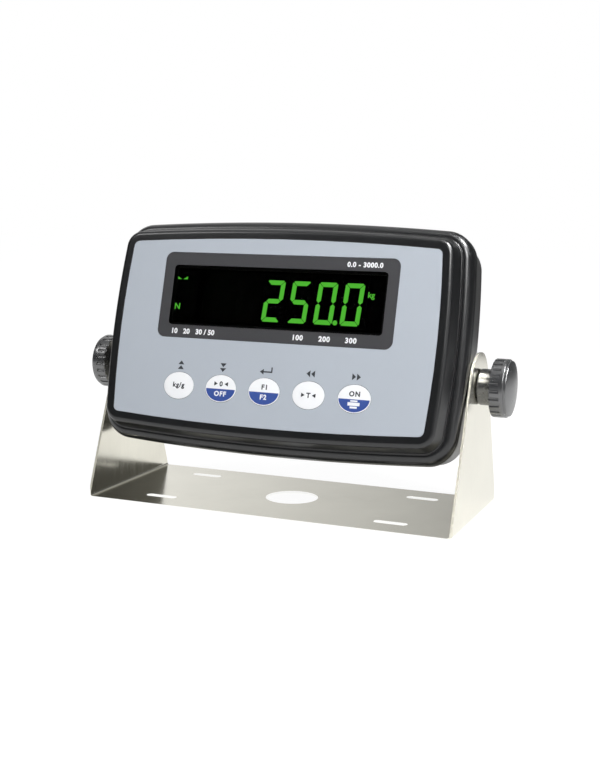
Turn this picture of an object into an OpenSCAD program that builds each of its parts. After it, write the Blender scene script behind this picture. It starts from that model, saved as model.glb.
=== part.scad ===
// Weighing indicator: a sealed plastic head with a six-digit display and five keys,
// which tilts between the arms of a bent steel yoke and is clamped by two hand knobs.
// Millimetres. The origin is the centre of the yoke's base, on the surface it stands on.
// +X is to the right seen from the front, +Y to the back and +Z up.

/* [Face] */
// Width of the face film between its sharp corners
face_w = 210.8; // [206:0.2:216]
// Height of the face film between its sharp corners
face_h = 113.3; // [110:0.1:120]
// Height of the middle of the face above the tilt axis
face_rise = 18.9; // [16:0.1:22]
// Outward bow of the top and bottom edges
top_bow = 3.5; // [2:0.1:5]
// Outward bow of the left and right edges
side_bow = 2.5; // [1.5:0.1:3.5]
// Corner radius of the face film
face_corner_r = 3.7; // [3:0.1:6]
// Thickness of the face film
film_t = 0.8; // [0.6:0.1:1.2]

/* [Housing] */
// Distance from the front face back to the tilt axis
face_depth = 46; // [43:0.5:48]
// Overall depth of the housing
head_depth = 62; // [60:0.5:68]
// Flat ring round the face film
ring_w = 4.7; // [4:0.1:6]
// Rounding of the front edge
edge_r = 2.2; // [1.5:0.1:2.6]
// Outward reach of the step behind the front edge
lip_out = 9.6; // [9:0.1:10.5]
// Depth of that step
lip_depth = 10.6; // [9:0.1:11.5]
// Depth of the groove in front of the rim
groove_depth = 13.4; // [12.6:0.1:14.4]
// Outward reach of the rim
rim_out = 15.4; // [14.8:0.1:16.5]
// Depth of the joint between the front and rear housings
split_depth = 21.4; // [20:0.1:23]
// Width of the rear housing's flange
flange_w = 5.2; // [4:0.1:7]
// Outward reach of the side wall where it turns towards the back
side_out = 13; // [12.4:0.1:13.8]
// Depth at which the side wall turns towards the back
side_depth = 43; // [40:0.5:45]
// Outward reach of the flat back
back_out = 2; // [1:0.1:4]
// Wall thickness of both housings
shell_wall = 3; // [2.4:0.1:3.4]

/* [Display] */
// Width of the dark frame's left and right bands
frame_side = 7.3; // [5:0.1:9]
// Height of the dark frame's upper and lower bands
frame_band = 8.4; // [6:0.1:10]
// Corner radius of the window
window_r = 2.2; // [1:0.1:4]
// Height of the middle of the display above the tilt axis
display_rise = 40.9; // [38:0.1:43]
// Number of digits
digit_count = 6; // [4:1:6]
// Distance from digit to digit
digit_pitch = 17.7; // [16:0.1:18.5]
// Height of a digit
digit_h = 26.7; // [22:0.1:28]
// Space from one digit to the next
digit_space = 5; // [4:0.1:6]
// Width of a segment
segment_w = 2.9; // [2:0.1:3.6]
// Width of the block of symbols on the left
annunciator_w = 15; // [12:0.5:18]
// Space between that block and the first digit
annunciator_space = 10.1; // [1:0.1:12]
// Width of the unit's block on the right
unit_w = 10; // [8:0.5:12]
// Lean of the digits in degrees
digit_lean = 3.4; // [0:0.1:8]

/* [Keys] */
// Distance from key to key
key_pitch = 30; // [26:0.5:33]
// Width of a key
key_w = 21.3; // [18:0.1:23]
// Height of a key
key_h = 17.4; // [14:0.1:20]
// Distance of the keys below the tilt axis
key_drop = 18.3; // [16:0.1:20]
// Travel of a key
key_travel = 0.4; // [0.2:0.05:0.5]

/* [Yoke] */
// Depth of the base, front to back
base_d = 106.4; // [96:0.2:120]
// Thickness of the sheet
sheet_t = 1.5; // [1.2:0.1:2.5]
// Inner radius of the two bends
bend_r = 1.5; // [1:0.1:3]
// Height of the tilt axis
pivot_h = 84.8; // [80:0.1:95]
// Distance of the tilt axis behind the middle of the base
pivot_y = 2.5; // [0:0.1:5]
// Radius of the rounded top of each arm
arm_top_r = 21.4; // [18:0.1:24]
// Rounding of the base's corners
base_corner_r = 3; // [1:0.1:6]
// Slot length, end to end
slot_l = 22; // [14:0.5:26]
// Slot width
slot_w = 6; // [4:0.1:8]
// Distance between the slots, left to right
slot_span_x = 161; // [150:0.5:180]
// Distance between the slots, front to back
slot_span_y = 67; // [60:0.5:76]
// Diameter of the hole in the middle of the base
centre_hole_d = 35; // [20:0.5:40]
// Tilt of the face from upright, in degrees
tilt = 15.8; // [0:0.1:30]

/* [Knobs] */
// Diameter over the ribs of the grip
grip_d = 36.3; // [30:0.1:40]
// Length of the grip
grip_l = 9; // [7:0.1:12]
// Number of ribs round the grip
rib_count = 24; // [16:1:32]
// Diameter of the domed cap
cap_d = 34.3; // [28:0.1:35]
// Diameter of the collar
collar_d = 22.6; // [21.5:0.1:26]
// Length of the collar
collar_l = 9.4; // [7:0.1:12]
// Thread diameter of the stud
stud_d = 6; // [5:0.5:8]
// Length of stud that reaches past the collar
stud_reach = 15.6; // [12:0.1:18]
// Diameter of the friction pads
pad_d = 29; // [24:0.5:30]
// Thickness of the friction pads
pad_t = 1.8; // [1.2:0.1:2.4]

/* [Rear] */
// Number of cable glands
gland_count = 3; // [1:1:3]
// Distance from gland to gland
gland_pitch = 60; // [50:1:62]
// Distance of the glands below the tilt axis
gland_drop = 29; // [26:0.5:31]
// Thread diameter of a gland
gland_thread_d = 12; // [10:0.5:14]
// Bore of a gland's seal
gland_bore_d = 6.5; // [4:0.1:7]
// Width of the main circuit board
main_board_w = 170; // [150:1:176]
// Height of the main circuit board
main_board_h = 74; // [66:1:76]

/* [Hidden] */
$fn = 48;

// One overrun serves every cut, one depth every weld between solids of one piece
over = 1;
weld = 0.4;
// Clearances
film_gap = 0.15;      // film, frame and window in their recesses
key_gap = 0.25;       // key in the film
key_floor_gap = 0.05; // pressed key to the plate behind it
bore_gap = 0.3;       // plunger in the housing, stud in the arm
stem_gap = 0.06;      // switch stem in its body
screw_gap = 0.02;     // screw in its bore
thread_gap = 0.05;    // stud in its insert
arm_gap = 0.1;        // pad and collar to the arm
rim_gap = 0.35;       // widest part of the housing to the arm

// Face outline
half_w = face_w / 2;
half_h = face_h / 2;
side_segments = 3;
corner_segments = 6;
top_segments = 4;
// A parallel outline grows a little less at the sides than at the top
grow_x_share = 0.99;
grow_z_share = 1.03;

// Housing
film_sink = 0.2;
film_recess = film_t + film_sink;
plate_back = film_recess + shell_wall;
lip_ledge = 0.6;
lip_r = 0.7;
groove_step = 0.5;
rim_start = lip_out + groove_step;
joint_chamfer = 0.6;
rim_turn_depth = split_depth - joint_chamfer;
rim_steps = 6;
edge_steps = 4;
lip_steps = 3;
inner_steps = 3;
groove_wall_share = 0.8;
edge_sweep = 75;
back_steps = 7;
flange_step = 0.8;
flange_depth = split_depth + flange_w;
// The joint face is thicker than the wall, so that it holds the gasket groove
joint_extra = 0.5;
joint_wall = shell_wall + joint_extra;
groove_w = 1.2;
gasket_t = 1;
gasket_out = rim_out - joint_wall / 2 - joint_chamfer / 4;
window_ledge = 1.6;
window_t = 2;
frame_r = 5;

// Housing and yoke widths follow from the face
head_half_w = half_w + side_bow + rim_out * grow_x_share;
arm_x = head_half_w + rim_gap;
yoke_w = 2 * (arm_x + sheet_t);
boss_x = arm_x - arm_gap - pad_t;
arm_hole_d = stud_d + 2 * bore_gap;

arm_steps = 36;

// Pivot bosses and inserts
boss_ledge = 0.5;
boss_d = pad_d + 2 * boss_ledge;
boss_root_x = half_w + side_bow + side_out - 2 * shell_wall - over;
insert_wall = 2;
insert_d = stud_d + 2 * insert_wall;
insert_l = 15;
insert_boss_d = insert_d + 2 * shell_wall;
insert_x = boss_x - insert_l;

// Case screws, one in each corner and two along the top and the bottom
case_x_share = 0.92;
case_mid_share = 0.3;
case_top_share = 0.87;
case_mid_top_share = 1.01;
case_post_d = 9;
case_screw_d = 3;
case_head_d = 5.6;
case_head_l = 2.4;
case_head_gap = 0.5;
case_head_sink = 0.6;
case_pocket_d = case_head_d + 2 * case_head_gap;
case_pocket_l = case_head_l + case_head_sink;
case_screw_l = 46;

// Display
module_gap = 0.2;
module_margin = 3;
digit_drop = 1.1;
window_margin = 1.65;
unit_space = 1.3;
module_w = digit_pitch - module_gap;
module_h = digit_h + 2 * module_margin;
window_w = digit_count * digit_pitch + annunciator_w + annunciator_space + unit_w + unit_space
    + 2 * (window_ledge + module_gap);
window_h = module_h + 2 * (window_ledge + window_margin);
frame_w = window_w + 2 * frame_side;
frame_h = window_h + 2 * frame_band;
digit_w = digit_pitch - digit_space;
module_l = 8;
window_air = 0.6;
module_front = film_sink + window_t + window_air;
board_t = 1.6;
display_board_depth = module_front + module_l;
board_margin = [6.9, 3.4];
display_board_w = window_w + 2 * board_margin[0];
display_board_h = window_h + 2 * board_margin[1];
display_inset = [4, 6];
display_boss_x = display_board_w / 2 - display_inset[0];
display_boss_z = display_board_h / 2 - display_inset[1];
segment_t = 0.6;
segment_gap = 0.4;
segment_corner = 1.3;
point_d = 3.1;
point_reach = 1.9;
point_space = 0.1;
point_at = [digit_w / 2 + point_reach + (point_d - digit_h) / 2 * tan(digit_lean),
    (point_d - digit_h) / 2];
module_shift = point_at[0] + point_d / 2 + point_space - module_w / 2;
// Segments of one digit, from the top clockwise: middle, half length, the direction that has
// the outside on its left, and whether its start and its end are at a corner of the digit
segment_x = (digit_w - segment_w) / 2;
segment_z = (digit_h - segment_w) / 2;
segment_table = [
    [[0, segment_z], segment_x, 0, true, true],
    [[segment_x, segment_z / 2], segment_z / 2, -90, true, false],
    [[segment_x, -segment_z / 2], segment_z / 2, -90, false, true],
    [[0, -segment_z], segment_x, 180, true, true],
    [[-segment_x, -segment_z / 2], segment_z / 2, 90, true, false],
    [[-segment_x, segment_z / 2], segment_z / 2, 90, false, true],
    [[0, 0], segment_x, 0, false, false]];
// Lit segments of each digit from the left, in the same order, and its decimal point
blank = [0, 0, 0, 0, 0, 0, 0];
zero = [1, 1, 1, 1, 1, 1, 0];
two = [1, 1, 0, 1, 1, 0, 1];
five = [1, 0, 1, 1, 0, 1, 1];
reading = [blank, blank, two, five, zero, zero];
point_digit = 4;
annunciator_x = -window_w / 2 + window_ledge + module_gap + annunciator_w / 2;
unit_x = window_w / 2 - window_ledge - module_gap - unit_w / 2;
digits_x = unit_x - unit_w / 2 - unit_space - digit_count * digit_pitch / 2;

// Small screws of the boards
board_screw_d = 2.5;
board_head_d = 5;
board_head_l = 1.8;
board_screw_l = 6;
board_boss_d = 6.4;

// Keypad, with one key to each key node
key_count = 5;
key_proud = 0.1;
key_front = film_sink - key_proud;
key_t = film_recess - key_front - key_travel - key_floor_gap;
plunger_d = 7;
switch_side = 6;
switch_l = 3.5;
stem_d = 3.4;
stem_stand = 1.5;
keypad_board_depth = 10;
keypad_board_w = 158;
keypad_board_h = 20;
keypad_inset = 4;
keypad_boss_x = keypad_board_w / 2 - keypad_inset;
keypad_boss_z = keypad_board_h / 2 - keypad_inset;
switch_front = keypad_board_depth - switch_l;
stem_front = switch_front - stem_stand;
stem_sink = 1.2;

// Main board, carried on bosses of the rear housing
back_inner = head_depth - shell_wall;
main_standoff = 12;
main_board_back = back_inner - main_standoff;
main_board_front = main_board_back - board_t;
main_board_rise = 19;
main_inset = 6;
main_boss_x = main_board_w / 2 - main_inset;
main_boss_z = main_board_h / 2 - main_inset;

// Parts on the main board: width, height and how far they stand off it
power_size = [46, 30, 19];
power_at_share = [-0.13, 0.2];
relay_size = [12, 16, 15];
relay_pitch = 15;
relay_at_share = [0.3, 0.16];
relay_count = 3;
capacitor_d = 12;
capacitor_l = 18;
capacitor_pitch = 14;
capacitor_count = 2;
capacitor_at_share = [0.09, 0.2];
chip_size = [14, 14, 1.6];
chip_pitch = 22;
chip_count = 2;
chip_at_share = [0.06, -0.12];
terminal_size = [30, 9, 11];
terminal_pitch = 46;
terminal_count = 3;
terminal_wires = 6;
terminal_hole_d = 3;
terminal_hole_l = 6;
terminal_z_share = -0.36;

// Ribbon cable between the display board and the main board
ribbon_w = 22;
ribbon_t = 1;
ribbon_x_share = -0.39;
ribbon_x = display_board_w * ribbon_x_share;
display_back = display_board_depth + board_t;
connector_l = 5;
connector_h = 6;
display_connector_z = 10;
main_connector_z = 30;
ribbon_steps = 12;

// Glands, from the locknut inside to the cap outside
gland_flange_ledge = 3;
gland_flange_d = gland_thread_d + 2 * gland_flange_ledge;
gland_flange_l = 4;
gland_locknut_l = 4;
gland_neck_l = 7;
gland_neck_step = 0.5;
gland_neck_d = gland_thread_d + 2 * gland_neck_step;
gland_neck_wall = 1.5;
gland_cap_l = 11;
gland_cap_wall = 2;
gland_tail_past = 1;
gland_tail_l = gland_locknut_l + gland_tail_past;
gland_seal_l = 8;
gland_seal_d = gland_neck_d - 2 * gland_neck_wall;
gland_mouth_ledge = 0.75;
gland_mouth_d = gland_bore_d + 2 * gland_mouth_ledge;
gland_dome_share = 1.45;
hex_sides = 6;

// Knobs
washer_d = 18;
washer_t = 1.2;
washer_gap = 0.1;
rib_groove_d = 2;
rib_facets = 16;
dome_facets = 96;
rib_groove_l_share = 0.72;
grip_edge = 0.8;
cap_step = 1.4;
cap_rise = 1.9;
collar_edge = 0.8;
stud_root_l = 14;
stud_head_d = 10;
stud_head_l = 4;
knob_x = arm_x + sheet_t + arm_gap;

// Back panel
panel_w = 90;
panel_h = 34;
panel_rise = 26;
panel_sink = 0.6;
panel_r = 4;

// Colours, as the surfaces look
steel = "#c9c8c2";
black = "#26272a";
dark = "#1b1c1e";
film_blue = "#b9c2cf";
frame_grey = "#3f4145";
lit_green = "#3fb02c";
board_green = "#1f6b3a";
brass = "#b89a50";

// Face outline: four bowed edges and four rounded corners, each point with its normal
top_r = (half_w * half_w + top_bow * top_bow) / (2 * top_bow);
side_r = (half_h * half_h + side_bow * side_bow) / (2 * side_bow);
top_c = [0, half_h + top_bow - top_r];
side_c = [half_w + side_bow - side_r, 0];

// Meeting point, on the right of the line from a to b, of circles round a and b
function circles_meet(a, ra, b, rb) =
    let (d = norm(b - a), u = (b - a) / d, along = (ra * ra - rb * rb + d * d) / (2 * d),
        across = sqrt(ra * ra - along * along))
    a + along * u + across * [-u[1], u[0]];

corner_try = circles_meet(side_c, side_r - face_corner_r, top_c, top_r - face_corner_r);
corner_c = corner_try[0] > 0 && corner_try[1] > 0 ? corner_try
    : circles_meet(top_c, top_r - face_corner_r, side_c, side_r - face_corner_r);
side_turn = atan2(corner_c[1] - side_c[1], corner_c[0] - side_c[0]);
top_turn = atan2(corner_c[1] - top_c[1], corner_c[0] - top_c[0]);

// Points [x, z, normal x, normal z] on an arc, from angle a0 to a1, with the first one left out
function arc_points(c, r, a0, a1, n) = [for (i = [1:n]) let (a = a0 + (a1 - a0) * i / n)
    [c[0] + r * cos(a), c[1] + r * sin(a), cos(a), sin(a)]];

quarter = concat(
    arc_points(side_c, side_r, 0, side_turn, side_segments),
    arc_points(corner_c, face_corner_r, side_turn, top_turn, corner_segments),
    arc_points(top_c, top_r, top_turn, 90, top_segments));
quarter_n = len(quarter);
side_middle = [side_c[0] + side_r, 0, 1, 0];

// The other quarters are mirror images, and each shared point is taken once
outline_points = concat(
    [side_middle], quarter,
    [for (i = [1:quarter_n - 1]) let (q = quarter[quarter_n - 1 - i]) [-q[0], q[1], -q[2], q[3]]],
    [[-side_middle[0], 0, -1, 0]],
    [for (q = quarter) [-q[0], -q[1], -q[2], -q[3]]],
    [for (i = [1:quarter_n - 1]) let (q = quarter[quarter_n - 1 - i]) [q[0], -q[1], q[2], -q[3]]]);
outline_n = len(outline_points);

// The outline moved outwards by o, in the plane of the face
function outline(o) = [for (p = outline_points)
    [p[0] + o * p[2] * grow_x_share, face_rise + p[1] + o * p[3] * grow_z_share]];

// Closed solid through rows of [outward reach, depth], with a cap on the first and last row
module loft(rows) {
    points = [for (row = rows) for (p = outline(row[0])) [p[0], row[1] - face_depth, p[1]]];
    last = (len(rows) - 1) * outline_n;
    polyhedron(points, concat(
        [[for (j = [0:outline_n - 1]) j]],
        [for (i = [0:len(rows) - 2]) for (j = [0:outline_n - 1]) for (half = [0, 1])
            let (a = i * outline_n + j, b = i * outline_n + (j + 1) % outline_n)
            half == 0 ? [a, a + outline_n, b + outline_n] : [a, b + outline_n, b]],
        [[for (j = [0:outline_n - 1]) last + outline_n - 1 - j]]));
}

// Elliptical turn from straight back to straight in: reach and depth, with half axes a and b
function turn_rows(c, a, b, from, to, n) = [for (i = [0:n]) let (t = from + (to - from) * i / n)
    [c[0] + a * sin(t), c[1] - b * cos(t)]];

// Places the head, and whatever turns with it, on the tilt axis
module in_head() {
    translate([0, pivot_y, pivot_h]) rotate([-tilt, 0, 0]) children();
}

// Draws a flat shape, seen from the front, as a slab between two depths behind the face
module slab(near, far) {
    translate([0, far - face_depth, 0]) rotate([90, 0, 0]) linear_extrude(far - near) children();
}

// Round bar from depth to depth at a place on the face
module bar(at, d, near, far) {
    slab(near, far) translate(at) circle(d = d);
}

// Slab of a width and height round a place
module block(at, size, near, far) {
    slab(near, far) translate(at) square(size, center = true);
}

module rounded_rect(w, h, r) {
    square([w - 2 * r, h], center = true);
    square([w, h - 2 * r], center = true);
    for (x = [-1, 1], z = [-1, 1]) translate([x * (w / 2 - r), z * (h / 2 - r)]) circle(r);
}

module slot(l, w) {
    square([l - w, w], center = true);
    for (x = [-1, 1]) translate([x * (l - w) / 2, 0]) circle(d = w);
}

module oval(w, h) {
    polygon([for (i = [0:$fn - 1]) [w / 2 * cos(360 * i / $fn), h / 2 * sin(360 * i / $fn)]]);
}

// Puts a child made for the right side on the given side
module on_side(side) {
    if (side > 0) children();
    else mirror([1, 0, 0]) children();
}

// The window's outline, moved outwards by o
module window_shape(o) {
    translate([0, display_rise]) rounded_rect(window_w + 2 * o, window_h + 2 * o, window_r + o);
}

// Places on the face
function four_places(x, z) = [for (i = [-1, 1], k = [-1, 1]) [i * x, k * z]];
function row_x(i, count, pitch) = (i - (count - 1) / 2) * pitch;
function key_at(i) = [row_x(i, key_count, key_pitch), -key_drop];
display_places = [for (p = four_places(display_boss_x, display_boss_z)) p + [0, display_rise]];
keypad_places = [for (p = four_places(keypad_boss_x, keypad_boss_z)) p - [0, key_drop]];
main_places = [for (p = four_places(main_boss_x, main_boss_z)) p + [0, main_board_rise]];
case_places = [for (x = [-1, 1], z = [-1, 1], mid = [0, 1])
    [x * half_w * (mid == 1 ? case_mid_share : case_x_share),
        face_rise + z * half_h * (mid == 1 ? case_mid_top_share : case_top_share)]];
gland_places = [for (i = [0:gland_count - 1]) [row_x(i, gland_count, gland_pitch), -gland_drop]];
digit_places = [for (i = [0:digit_count - 1])
    [digits_x + row_x(i, digit_count, digit_pitch), display_rise - digit_drop]];

// Outer face of the front housing from the joint forwards to the face recess
front_outer_rows = concat(
    [[rim_out - joint_chamfer, split_depth]],
    [for (row = turn_rows([rim_start, rim_turn_depth], rim_out - rim_start,
        rim_turn_depth - groove_depth, 90, 0, rim_steps)) row],
    [[lip_out, groove_depth]],
    [for (row = turn_rows([lip_out - lip_ledge, lip_depth + lip_r], lip_ledge, lip_r, 90, 0, lip_steps))
        row],
    [for (row = turn_rows([ring_w, edge_r], edge_r, edge_r, edge_sweep, 0, edge_steps)) row],
    [[film_gap, 0], [film_gap, film_recess]]);

// Inner face of the front housing from behind the face plate back to the joint
front_inner_rows = concat(
    [[ring_w + edge_r - shell_wall, plate_back],
        [lip_out - shell_wall, lip_depth + lip_r],
        [lip_out - shell_wall, groove_depth + shell_wall * groove_wall_share]],
    turn_rows([rim_start, rim_turn_depth], rim_out - rim_start - joint_wall,
        rim_turn_depth - groove_depth - shell_wall, 0, 90, inner_steps),
    [[rim_out - joint_wall, split_depth],
        [gasket_out - groove_w / 2, split_depth],
        [gasket_out - groove_w / 2, split_depth - gasket_t],
        [gasket_out + groove_w / 2, split_depth - gasket_t],
        [gasket_out + groove_w / 2, split_depth]]);

// Rear housing from the flat back forwards to the joint, then inside back to the inner wall
rear_rows = concat(
    [for (row = turn_rows([back_out, side_depth], side_out - back_out,
        -(head_depth - side_depth), 0, 90, back_steps)) row],
    [[rim_out - flange_step, flange_depth + joint_chamfer],
        [rim_out, flange_depth],
        [rim_out, split_depth + joint_chamfer],
        [rim_out - joint_chamfer, split_depth],
        [rim_out - joint_wall, split_depth]],
    [for (row = turn_rows([back_out, side_depth], side_out - back_out - shell_wall,
        -(back_inner - side_depth), 90, 0, back_steps)) row]);

module yoke_bracket() color(steel) difference() {
    intersection() {
        rotate([90, 0, 0]) linear_extrude(base_d + 2 * over, center = true) yoke_section();
        rotate([90, 0, 90]) linear_extrude(yoke_w + 2 * over, center = true) arm_outline();
        base_corners();
    }
    translate([0, 0, -over]) linear_extrude(sheet_t + 2 * over) {
        circle(d = centre_hole_d);
        for (x = [-1, 1], y = [-1, 1])
            translate([x * slot_span_x / 2, y * slot_span_y / 2]) slot(slot_l, slot_w);
    }
    translate([0, pivot_y, pivot_h]) rotate([0, 90, 0])
        cylinder(d = arm_hole_d, h = yoke_w + 2 * over, center = true);
}

// Bent section of the sheet, seen from the front
module yoke_section() {
    top = pivot_h + arm_top_r + over;
    outer_r = bend_r + sheet_t;
    difference() {
        union() {
            translate([-yoke_w / 2, outer_r]) square([yoke_w, top - outer_r]);
            translate([-yoke_w / 2 + outer_r, 0]) square([yoke_w - 2 * outer_r, outer_r]);
            for (x = [-1, 1]) translate([x * (yoke_w / 2 - outer_r), outer_r]) circle(outer_r);
        }
        translate([-arm_x, outer_r]) square([2 * arm_x, top]);
        translate([-arm_x + bend_r, sheet_t]) square([2 * (arm_x - bend_r), top]);
        for (x = [-1, 1]) translate([x * (arm_x - bend_r), outer_r]) circle(bend_r);
    }
}

// Angle, round the tilt axis, at which an edge from the base's corner touches the rounded top
function touch_angle(y) =
    let (to = [y, sheet_t + bend_r] - [pivot_y, pivot_h], to_corner = atan2(to[1], to[0]),
        off = acos(arm_top_r / norm(to)))
    to_corner + (y > 0 ? off : -off);

// Arm seen from the side: straight edges from the base's corners run into the rounded top
module arm_outline() {
    start = touch_angle(base_d / 2);
    sweep = touch_angle(-base_d / 2) + 360 - start;
    polygon(concat([[-base_d / 2, 0], [base_d / 2, 0], [base_d / 2, sheet_t + bend_r]],
        [for (i = [0:arm_steps]) let (a = start + sweep * i / arm_steps)
            [pivot_y + arm_top_r * cos(a), pivot_h + arm_top_r * sin(a)]],
        [[-base_d / 2, sheet_t + bend_r]]));
}

// Rounds the four corners of the base where they turn up into the arms' feet
module base_corners() {
    translate([0, 0, -over]) linear_extrude(pivot_h + arm_top_r + 2 * over)
        rounded_rect(yoke_w, base_d, base_corner_r);
}

module front_housing() color(black) in_head() difference() {
    union() {
        loft(concat(front_inner_rows, front_outer_rows));
        for (p = display_places) bar(p, board_boss_d, plate_back - weld, display_board_depth);
        for (p = keypad_places) bar(p, board_boss_d, plate_back - weld, keypad_board_depth);
        for (p = case_places) bar(p, case_post_d, plate_back - weld, split_depth);
    }
    // Seat of the window pane, and the opening behind it
    slab(-over, film_sink + window_t) window_shape(film_gap);
    slab(-over, plate_back + over) window_shape(-window_ledge);
    for (i = [0:key_count - 1]) bar(key_at(i), plunger_d + 2 * bore_gap, -over, plate_back + over);
    for (p = display_places) bar(p, board_screw_d, plate_back, display_board_depth + over);
    for (p = keypad_places) bar(p, board_screw_d, plate_back, keypad_board_depth + over);
    for (p = case_places) bar(p, case_screw_d, plate_back + over, split_depth + over);
}

module rear_housing() color(black) in_head() difference() {
    union() {
        loft(rear_rows);
        for (p = case_places) bar(p, case_post_d, split_depth, back_inner + weld);
        for (p = main_places) bar(p, board_boss_d, main_board_back, back_inner + weld);
        for (side = [-1, 1]) on_side(side) rotate([0, 90, 0]) {
            translate([0, 0, boss_root_x]) cylinder(d = boss_d, h = boss_x - boss_root_x);
            translate([0, 0, insert_x - shell_wall])
                cylinder(d = insert_boss_d, h = boss_x - insert_x + shell_wall);
        }
    }
    for (side = [-1, 1]) on_side(side) translate([insert_x, 0, 0]) rotate([0, 90, 0])
        cylinder(d = insert_d, h = insert_l + over);
    for (p = case_places) {
        bar(p, case_screw_d + 2 * screw_gap, split_depth - over, head_depth + over);
        bar(p, case_pocket_d, head_depth - case_pocket_l, head_depth + over);
    }
    for (p = main_places)
        bar(p, board_screw_d, main_board_back - over, main_board_back + board_screw_l);
    for (p = gland_places) bar(p, gland_thread_d, back_inner - over, head_depth + over);
    slab(head_depth - panel_sink, head_depth + over) translate([0, panel_rise])
        rounded_rect(panel_w, panel_h, panel_r);
}

module housing_gasket() color(dark) in_head() slab(split_depth - gasket_t, split_depth)
    difference() {
        polygon(outline(gasket_out + groove_w / 2));
        polygon(outline(gasket_out - groove_w / 2));
    }

module overlay_panel() color(film_blue) in_head() slab(film_sink, film_recess)
    difference() {
        polygon(outline(0));
        translate([0, display_rise])
            rounded_rect(frame_w + 2 * film_gap, frame_h + 2 * film_gap, frame_r + film_gap);
        for (i = [0:key_count - 1]) translate(key_at(i))
            oval(key_w + 2 * key_gap, key_h + 2 * key_gap);
    }

module display_frame() color(frame_grey) in_head() slab(film_sink, film_recess) difference() {
    translate([0, display_rise]) rounded_rect(frame_w, frame_h, frame_r);
    window_shape(film_gap);
}

module display_window() color("#060607") in_head() slab(film_sink, film_sink + window_t)
    window_shape(0);

function shown(i) = reading[len(reading) - digit_count + i];

// End of a segment from its inner to its outer side: mitred at a corner, pointed elsewhere
function segment_end(l, w, corner) = corner
    ? [[l - w - segment_gap / 2, -w],
        [l + w - (segment_corner + segment_gap) / 2, w - segment_corner / 2],
        [l + w - segment_corner, w]]
    : [[l - w - segment_gap / 2, -w], [l - segment_gap / 2, 0], [l - w - segment_gap / 2, w]];

module segment_shape(s) {
    start = [for (p = segment_end(s[1], segment_w / 2, s[3])) [-p[0], p[1]]];
    end = segment_end(s[1], segment_w / 2, s[4]);
    translate(s[0]) rotate(s[2]) polygon(concat(end, [for (k = [2:-1:0]) start[k]]));
}

// Leans a digit about its middle
module lean() {
    multmatrix([[1, tan(digit_lean), 0, 0], [0, 1, 0, 0], [0, 0, 1, 0], [0, 0, 0, 1]]) children();
}

module digit_segments(i, lit) {
    translate(digit_places[i]) lean() {
        for (k = [0:len(segment_table) - 1])
            if ((shown(i)[k] == 1) == lit) segment_shape(segment_table[k]);
    }
    if ((i == digit_count - len(reading) + point_digit) == lit)
        translate(digit_places[i] + point_at) circle(d = point_d);
}

module digit_modules() color(dark) in_head() for (i = [0:digit_count - 1]) difference() {
    block(digit_places[i] + [module_shift, digit_drop], [module_w, module_h], module_front,
        display_board_depth);
    slab(module_front - over, module_front + segment_t) {
        digit_segments(i, true);
        digit_segments(i, false);
    }
}

module segments(lit) in_head() slab(module_front, module_front + segment_t)
    for (i = [0:digit_count - 1]) digit_segments(i, lit);

module lit_segments() color(lit_green) segments(true);

module dark_segments() color("#23302a") segments(false);

module annunciator_blocks() color(dark) in_head() {
    block([annunciator_x, display_rise], [annunciator_w, module_h], module_front,
        display_board_depth);
    block([unit_x, display_rise], [unit_w, module_h], module_front, display_board_depth);
}

// Circuit board with holes for its screws
module circuit_board(at, size, places, front) {
    difference() {
        block(at, size, front, front + board_t);
        for (p = places) bar(p, board_screw_d + 2 * screw_gap, front - over, front + board_t + over);
    }
}

// Pan-head screw driven forwards into its bore
module board_screw(p, seat) {
    bar(p, board_screw_d - 2 * screw_gap, seat - board_screw_l, seat + weld);
    bar(p, board_head_d, seat, seat + board_head_l);
}

module display_board() color(board_green) in_head()
    circuit_board([0, display_rise], [display_board_w, display_board_h], display_places,
        display_board_depth);

module display_screws() color(steel) in_head()
    for (p = display_places) board_screw(p, display_board_depth + board_t);

module keypad_board() color(board_green) in_head()
    circuit_board([0, -key_drop], [keypad_board_w, keypad_board_h], keypad_places,
        keypad_board_depth);

module keypad_screws() color(steel) in_head()
    for (p = keypad_places) board_screw(p, keypad_board_depth + board_t);

module switch_bodies() color(dark) in_head() for (i = [0:key_count - 1]) difference() {
    block(key_at(i), [switch_side, switch_side], switch_front, keypad_board_depth);
    bar(key_at(i), stem_d + 2 * stem_gap, switch_front - over,
        switch_front + stem_sink + key_travel + bore_gap);
}

// Key with its plunger through the housing
module key(n) color("#f2f3f5") in_head() {
    slab(key_front, key_front + key_t) translate(key_at(n - 1)) oval(key_w, key_h);
    bar(key_at(n - 1), plunger_d, key_front + key_t - weld, stem_front);
}

module switch_stem(n) color("#e8e4da") in_head()
    bar(key_at(n - 1), stem_d, stem_front, switch_front + stem_sink);

module board_connectors() color("#e8e4da") in_head() {
    block([ribbon_x, display_connector_z], [ribbon_w + 2 * ribbon_t, connector_h],
        display_back, display_back + connector_l);
    block([ribbon_x, main_connector_z], [ribbon_w + 2 * ribbon_t, connector_h],
        main_board_front - connector_l, main_board_front);
}

module ribbon_cable() color("#8c8f94") in_head() {
    near = display_back + connector_l - face_depth;
    far = main_board_front - connector_l - face_depth;
    climb = main_connector_z - display_connector_z;
    path = [for (i = [0:ribbon_steps]) let (t = i / ribbon_steps)
        [near + (far - near) * t, display_connector_z + climb * (1 - cos(180 * t)) / 2]];
    translate([ribbon_x - ribbon_w / 2, 0, 0]) rotate([90, 0, 90]) linear_extrude(ribbon_w)
        polygon(concat([for (p = path) p + [0, ribbon_t / 2]],
            [for (i = [0:ribbon_steps]) path[ribbon_steps - i] - [0, ribbon_t / 2]]));
}

module main_board() color(board_green) in_head()
    circuit_board([0, main_board_rise], [main_board_w, main_board_h], main_places,
        main_board_front);

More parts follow.
